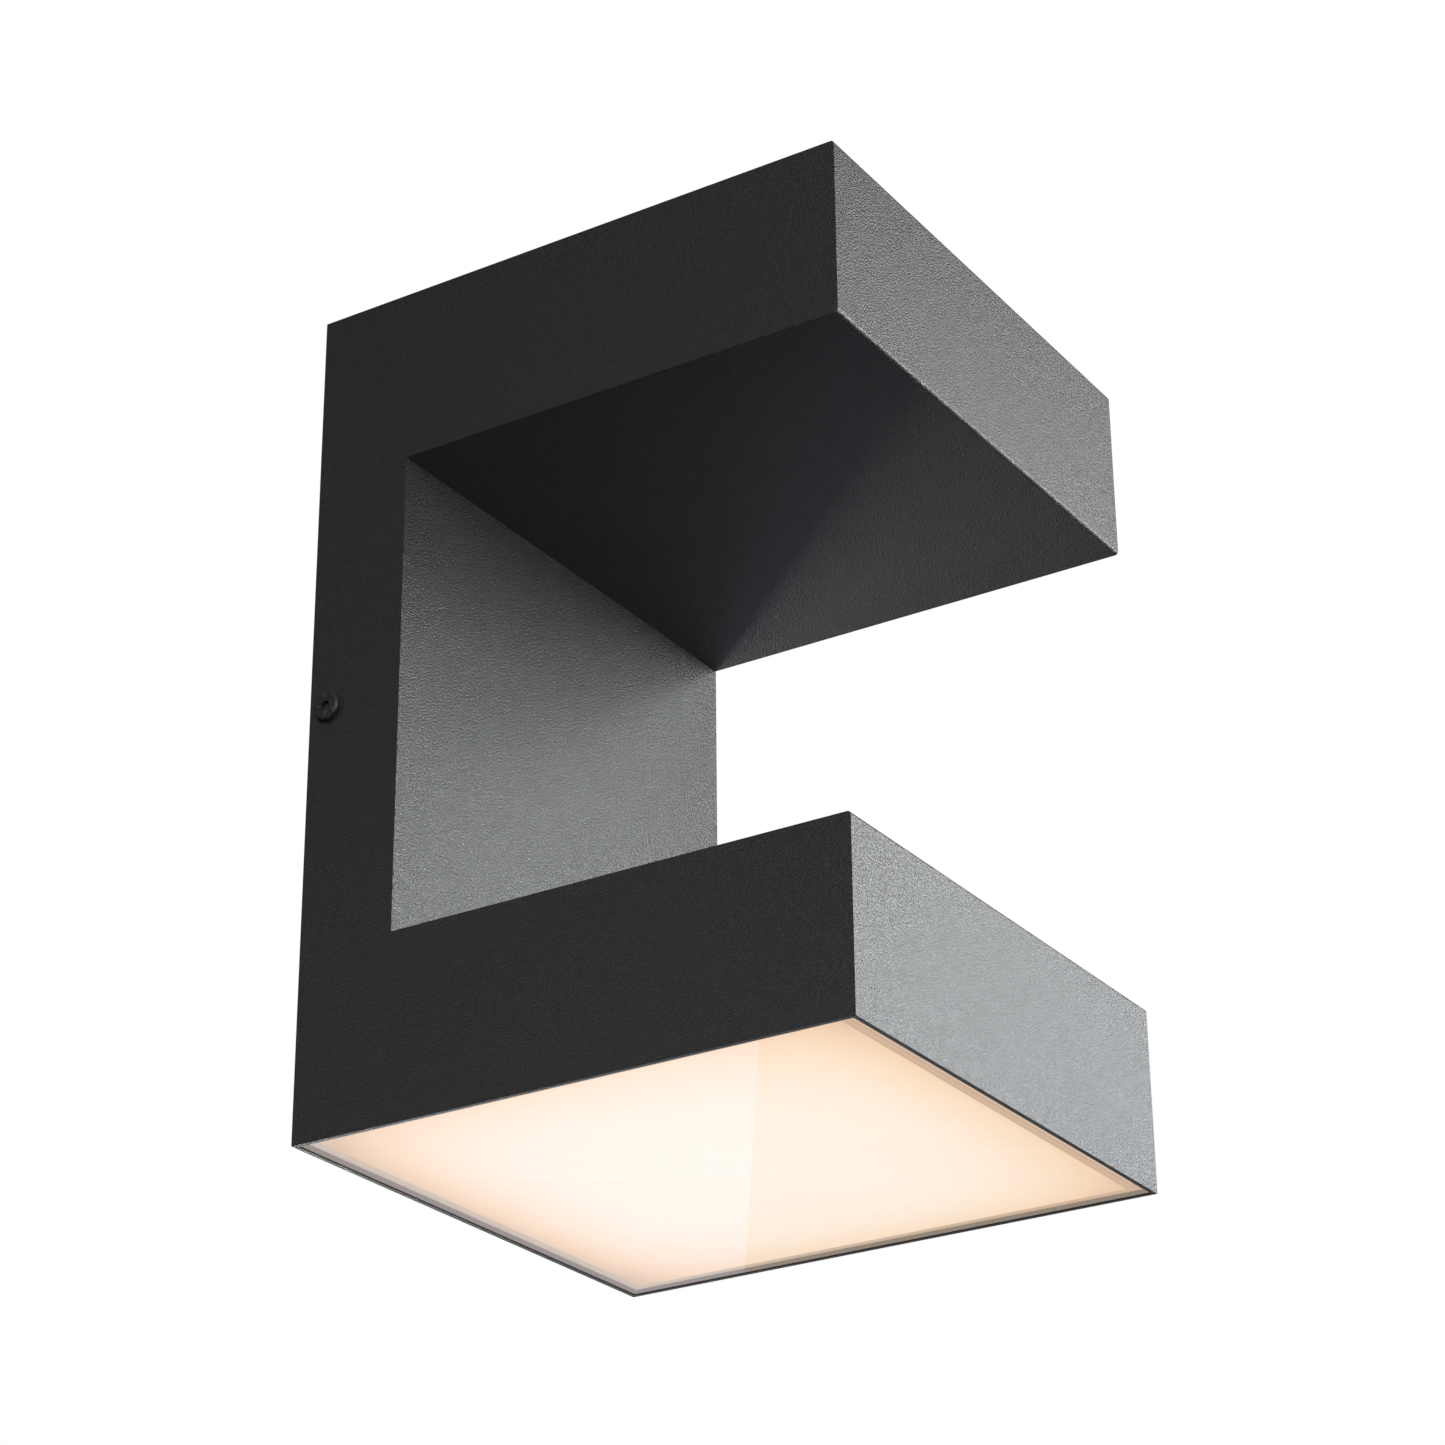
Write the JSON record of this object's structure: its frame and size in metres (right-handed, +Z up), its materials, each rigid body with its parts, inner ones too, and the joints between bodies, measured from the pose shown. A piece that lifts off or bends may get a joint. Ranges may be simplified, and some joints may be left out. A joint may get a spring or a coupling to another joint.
{
  "type": "outdoor wall lantern",
  "caption": "C-shaped outdoor wall light of folded sheet metal: a plain upper arm, a hollow spine against the wall and a lower arm that shines down through a square glowing lens.",
  "frame": {"origin": "on the wall plane, at mid-height and mid-width of the wall bracket", "axes": "+Z up, -Y away from the wall, +X along the wall"},
  "size_m": [0.1844, 0.191, 0.28],
  "materials": {
    "powder_coat": "fine-textured matt anthracite powder coat",
    "zinc_steel": "bright zinc plate",
    "foam": "closed-cell foam",
    "black_rubber": "matt",
    "green_screw": "satin",
    "brass_parts": "turned",
    "terminal_plastic": "moulded",
    "driver_plastic": "fine moulded texture",
    "tray_aluminium": "mill finish",
    "board_white": "white solder mask",
    "led_phosphor": "clear resin over phosphor",
    "reflector_white": "high-reflectance white",
    "opal_light": "opal, lit warm white, emissive",
    "grey_silicone": "translucent grey",
    "clear_cover": "polished clear sheet",
    "lead_brown": "wire insulation",
    "lead_blue": "wire insulation",
    "lead_green": "wire insulation",
    "lead_red": "wire insulation",
    "lead_black": "wire insulation",
    "black_steel": "black oxide with a little oil"
  },
  "bodies": {
    "lantern": {"left_side_plate": "powder_coat", "right_side_plate": "powder_coat", "folded_wrap": "powder_coat", "upper_rear_panel": "powder_coat", "lower_rear_panel": "powder_coat", "wall_bracket": "zinc_steel", "clinch_nuts": "zinc_steel", "wall_gasket": "foam", "cable_grommet": "black_rubber", "earth_screw": "green_screw", "earth_lug": "brass_parts", "terminal_block": "terminal_plastic", "terminal_screws": "brass_parts", "terminal_fixings": "zinc_steel", "driver_case": "driver_plastic", "driver_end_caps": "driver_plastic", "driver_studs": "zinc_steel", "driver_nuts": "zinc_steel", "tray_studs": "zinc_steel", "tray_nuts": "zinc_steel", "led_tray": "tray_aluminium", "led_board": "board_white", "led_packages": "led_phosphor", "board_screws": "zinc_steel", "board_connector": "board_white", "lead_grommet": "black_rubber", "reflector_box": "reflector_white", "opal_diffuser": "opal_light", "edge_gasket": "grey_silicone", "clear_cover": "clear_cover", "cover_seal": "grey_silicone", "lead_clips": "terminal_plastic", "live_lead": "lead_brown", "neutral_lead": "lead_blue", "earth_lead": "lead_green", "led_lead_plus": "lead_red", "led_lead_minus": "lead_black"},
    "left_screw_washer": {"left_screw_washer": "black_rubber"},
    "left_side_screw": {"left_side_screw": "black_steel"},
    "right_screw_washer": {"right_screw_washer": "black_rubber"},
    "right_side_screw": {"right_side_screw": "black_steel"}
  },
  "joints": [
    {"name": "left_screw_withdraw", "type": "slide", "parent": "lantern", "child": "left_screw_washer", "axis": [-1, 0, 0], "range_m": [0, 0.01]},
    {"name": "left_screw_turn", "type": "hinge", "parent": "left_screw_washer", "child": "left_side_screw", "pos_m": [-0.09, -0.0075, 0], "axis": [-1, 0, 0], "range_deg": [0, 4500]},
    {"name": "right_screw_withdraw", "type": "slide", "parent": "lantern", "child": "right_screw_washer", "axis": [1, 0, 0], "range_m": [0, 0.01]},
    {"name": "right_screw_turn", "type": "hinge", "parent": "right_screw_washer", "child": "right_side_screw", "pos_m": [0.09, -0.0075, 0], "axis": [1, 0, 0], "range_deg": [0, 4500]}
  ],
  "couplings": [
    {"joint": "left_screw_turn", "follows": "left_screw_withdraw", "rad_per_m": 7854},
    {"joint": "right_screw_turn", "follows": "right_screw_withdraw", "rad_per_m": 7854}
  ]
}
